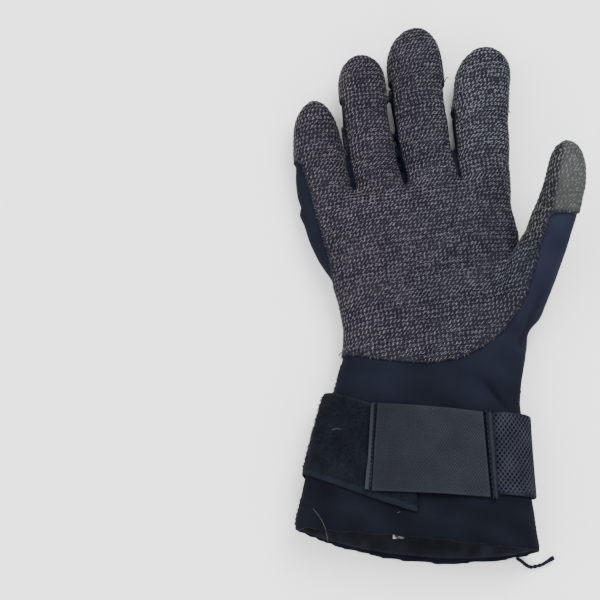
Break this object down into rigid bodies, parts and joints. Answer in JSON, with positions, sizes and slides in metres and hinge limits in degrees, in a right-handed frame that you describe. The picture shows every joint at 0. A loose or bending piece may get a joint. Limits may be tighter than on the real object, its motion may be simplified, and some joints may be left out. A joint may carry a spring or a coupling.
{
  "type": "diving glove",
  "caption": "Right-hand neoprene diving glove with a knitted aramid palm and fingertips and a touch-fastened wrist strap, lying on its back.",
  "frame": {"origin": "middle of the bounding box, on the surface that the back of the glove lies on", "axes": "+X from the little finger to the thumb, +Y from the cuff to the fingertips, +Z out of the palm"},
  "size_m": [0.1556, 0.298, 0.0604],
  "materials": {
    "rubber": "matte, faced with smooth nylon jersey",
    "knit": "coarse purl knit, pale yarn on a dark ground",
    "loop": "brushed loop pile",
    "elastic": "woven elastic",
    "hook": "stiff nylon hook tape",
    "lining": "plush",
    "label": "satin tape"
  },
  "bodies": {
    "root": {"glove_body": "rubber", "little_finger": "rubber", "ring_finger": "rubber", "middle_finger": "rubber", "index_finger": "rubber", "thumb": "rubber", "palm_knit": "knit", "loop_band": "loop", "elastic_strap": "elastic", "hook_patch": "hook", "hook_end_fold": "hook", "strap_seam": "elastic", "cuff_lining": "lining", "size_label": "label"}
  },
  "joints": []
}
